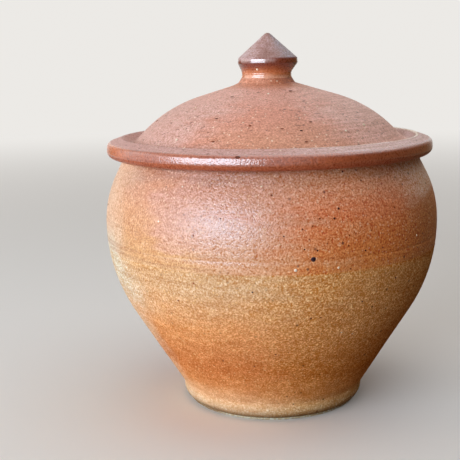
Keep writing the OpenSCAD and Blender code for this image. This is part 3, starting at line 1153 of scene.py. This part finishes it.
def set_bits(name, kind, wall, points, marks, density, seed, off_centre=(0, 0, 0), drawn_out=1.0):
    """Bits in the face of a thrown piece: marked ones in front, and a density per square metre behind."""
    marks = [(angle, height * MM, size * MM) for angle, height, size in marks]
    values = {
        "Wall": wall, "Density": density, "Seed": seed, "Least Size": kind.sizes[0],
        "Largest Size": kind.sizes[1], "Flatness": kind.flatness, "Drawn Out": drawn_out,
        "Clay": kind.finish,
    }
    return grown_piece(name, marked_mesh(name, points, marks, off_centre), set_in_clay, values)


pot_spots = set_bits("pot_iron_spots", SPOTS, pot, pot_outline, POT_IRON_SPOTS, density=1400, seed=3)
pot_large_spots = set_bits("pot_large_spots", LARGE_SPOTS, pot, pot_outline, POT_LARGE_SPOTS, density=60,
                           seed=4)
pot_grog = set_bits("pot_grog", GROG, pot, pot_outline, POT_GROG, density=1000, seed=8)
lid_spots = set_bits("lid_iron_spots", SPOTS, lid, lid_outline, LID_IRON_SPOTS, density=1400, seed=5,
                     off_centre=LID_OFF_CENTRE, drawn_out=2.0)
lid_grog = set_bits("lid_grog", GROG, lid, lid_outline, LID_GROG, density=900, seed=9,
                    off_centre=LID_OFF_CENTRE)
knob_grog = set_bits("knob_grog", GROG, knob, knob_outline, KNOB_GROG, density=0, seed=2,
                     off_centre=LID_OFF_CENTRE)

for piece, body, slot in (
    (pot, "pot", "pot_stoneware"), (pot_spots, "pot", "pot_stoneware"), (pot_grog, "pot", "pot_stoneware"),
    (pot_large_spots, "pot", "pot_stoneware"),
    (lid, "lid", "lid_stoneware"), (collar, "lid", "lid_stoneware"), (knob, "lid", "knob_stoneware"),
    (lid_spots, "lid", "lid_stoneware"), (lid_grog, "lid", "lid_stoneware"),
    (knob_grog, "lid", "knob_stoneware"),
):
    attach(piece, body)
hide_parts("pot")
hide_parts("lid")
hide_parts("lid_collar")
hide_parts("knob")


# Studio
BACKDROP_PALE = (0.84, 0.82, 0.79, 1)
BACKDROP_DIM = (0.20, 0.105, 0.045, 1)
FILL = (0.11, 0.09, 0.07, 1)
FILL_DIM = (0.026, 0.014, 0.006, 1)
SCREEN_EDGE = (0.6, 0.3)
SCREEN_TOP = (0.12, 0.7)
OPEN_ABOVE = 0.8


def ray_kinds(net):
    """1 for rays that look straight at the surroundings, and for these with mirrored and refracted ones."""
    path = net.add("ShaderNodeLightPath").outputs
    mirrored = net.math("MAXIMUM", path["Is Glossy Ray"], path["Is Transmission Ray"])
    return path["Is Camera Ray"], net.math("MAXIMUM", path["Is Camera Ray"], mirrored)


def backdrop(net, direction):
    """Colour of the surroundings: pale to look at, with dim brown screens low on both sides, out of view."""
    straight, shown = ray_kinds(net)
    across, _, up = net.parts(direction)
    above = up.smooth(*SCREEN_TOP) * OPEN_ABOVE
    open_left = net.math("MAXIMUM", across.smooth(*SCREEN_EDGE), above)
    open_ends = net.math("MAXIMUM", abs(across).smooth(*SCREEN_EDGE), above)
    seen = net.mix(net.math("MAXIMUM", open_ends, straight), BACKDROP_DIM, BACKDROP_PALE)
    return net.mix(shown, net.mix(open_left, FILL_DIM, FILL), seen)


def make_world():
    world = bpy.data.worlds.new("studio")
    bpy.context.scene.world = world
    net = emptied(world)
    colour = backdrop(net, net.add("ShaderNodeTexCoord").outputs["Generated"])
    light = net.add("ShaderNodeBackground", {"Color": colour, "Strength": 1.0}).outputs[0]
    net.add("ShaderNodeOutputWorld", {"Surface": light})


FLOOR_R = 3.0
FLOOR_SIDES = 96
FLOOR_BELOW = 0.05 * MM
FLOOR_PALE = tone(240, 236, 230)
FLOOR_MIRRORED_RIGHT = (0.30, 0.19, 0.11, 1)
FLOOR_BOUNCE_LEFT = (0.62, 0.34, 0.17, 1)
FLOOR_BOUNCE_RIGHT = (0.10, 0.05, 0.02, 1)
# Where the floor changes from left to right, and where it fades into the backdrop
FLOOR_MIDDLE = (-0.04, 0.08)
FLOOR_FADE = (0.25, 1.1)


def floor_material():
    """A pale floor that keeps the shadow and fades into the backdrop far from the pot."""
    material = bpy.data.materials.new("studio floor")
    net = emptied(material)
    place = net.add("ShaderNodeTexCoord").outputs["Object"]
    straight, shown = ray_kinds(net)
    right = net.parts(place)[0].smooth(*FLOOR_MIDDLE)
    bounce = net.mix(right, FLOOR_BOUNCE_LEFT, FLOOR_BOUNCE_RIGHT)
    pale = net.math("MAXIMUM", 1.0 - right, straight)
    lit = net.mix(shown, bounce, net.mix(pale, FLOOR_MIRRORED_RIGHT, FLOOR_PALE))
    near = net.add("ShaderNodeBsdfDiffuse", {"Color": lit}).outputs[0]
    colour = backdrop(net, net.vector("NORMALIZE", place))
    far = net.add("ShaderNodeEmission", {"Color": colour, "Strength": shown}).outputs[0]
    fade = net.length(place).smooth(*FLOOR_FADE)
    surface = net.add("ShaderNodeMixShader", {0: fade, 1: near, 2: far}).outputs[0]
    net.add("ShaderNodeOutputMaterial", {"Surface": surface})
    return material


def make_floor():
    bpy.ops.mesh.primitive_circle_add(vertices=FLOOR_SIDES, radius=FLOOR_R, fill_type="NGON")
    floor = bpy.context.object
    floor.name = "studio_floor"
    floor.data.transform(Matrix.Translation((0, 0, -FLOOR_BELOW)))
    floor.data.materials.append(floor_material())


def soft_box(name, bearing, elevation, distance, width, height, power, colour):
    """A rectangular lamp that faces the pot from a bearing, in degrees from the front towards the right."""
    lamp = bpy.data.lights.new(name, "AREA")
    lamp.shape = "RECTANGLE"
    lamp.size = width
    lamp.size_y = height
    lamp.energy = power
    lamp.color = colour
    body = placed(name, lamp)
    side, lift = radians(bearing), radians(elevation)
    away = Vector((sin(side) * cos(lift), -cos(side) * cos(lift), sin(lift)))
    body.location = Vector((0, 0, BELLY_HEIGHT)) + away * distance
    body.rotation_euler = (-away).to_track_quat("-Z", "Y").to_euler()


# The photograph's view, fitted to the outlines of the pot
IMAGE_SIDE = 460
FOCAL_PIXELS = 930
SENSOR_WIDTH = 36
CAMERA_PLACE = (-13.82 * MM, -310 * MM, 116.08 * MM)
CAMERA_DOWN = 10.834
CAMERA_ROLL = 1.101
NEAREST_SEEN = 10 * MM


def make_camera():
    lens = bpy.data.cameras.new("camera")
    camera = placed("camera", lens)
    camera.location = CAMERA_PLACE
    tilt = Matrix.Rotation(radians(90 - CAMERA_DOWN), 3, "X")
    camera.rotation_euler = (tilt @ Matrix.Rotation(radians(-CAMERA_ROLL), 3, "Z")).to_euler()
    lens.sensor_width = SENSOR_WIDTH
    lens.lens = FOCAL_PIXELS / IMAGE_SIDE * SENSOR_WIDTH
    lens.clip_start = NEAREST_SEEN
    bpy.context.scene.camera = camera


make_world()
make_floor()
soft_box("window", bearing=-42, elevation=8, distance=1.0, width=1.0, height=0.56, power=12.6,
         colour=(0.88, 1.0, 1.15))
soft_box("left wall", bearing=-100, elevation=14, distance=1.0, width=1.0, height=0.8, power=3.0,
         colour=(1.0, 1.0, 1.0))
soft_box("skylight", bearing=108, elevation=74, distance=1.2, width=1.8, height=1.8, power=10.0,
         colour=(0.98, 1.0, 1.03))
make_camera()
bpy.context.scene.view_settings.view_transform = "Standard"
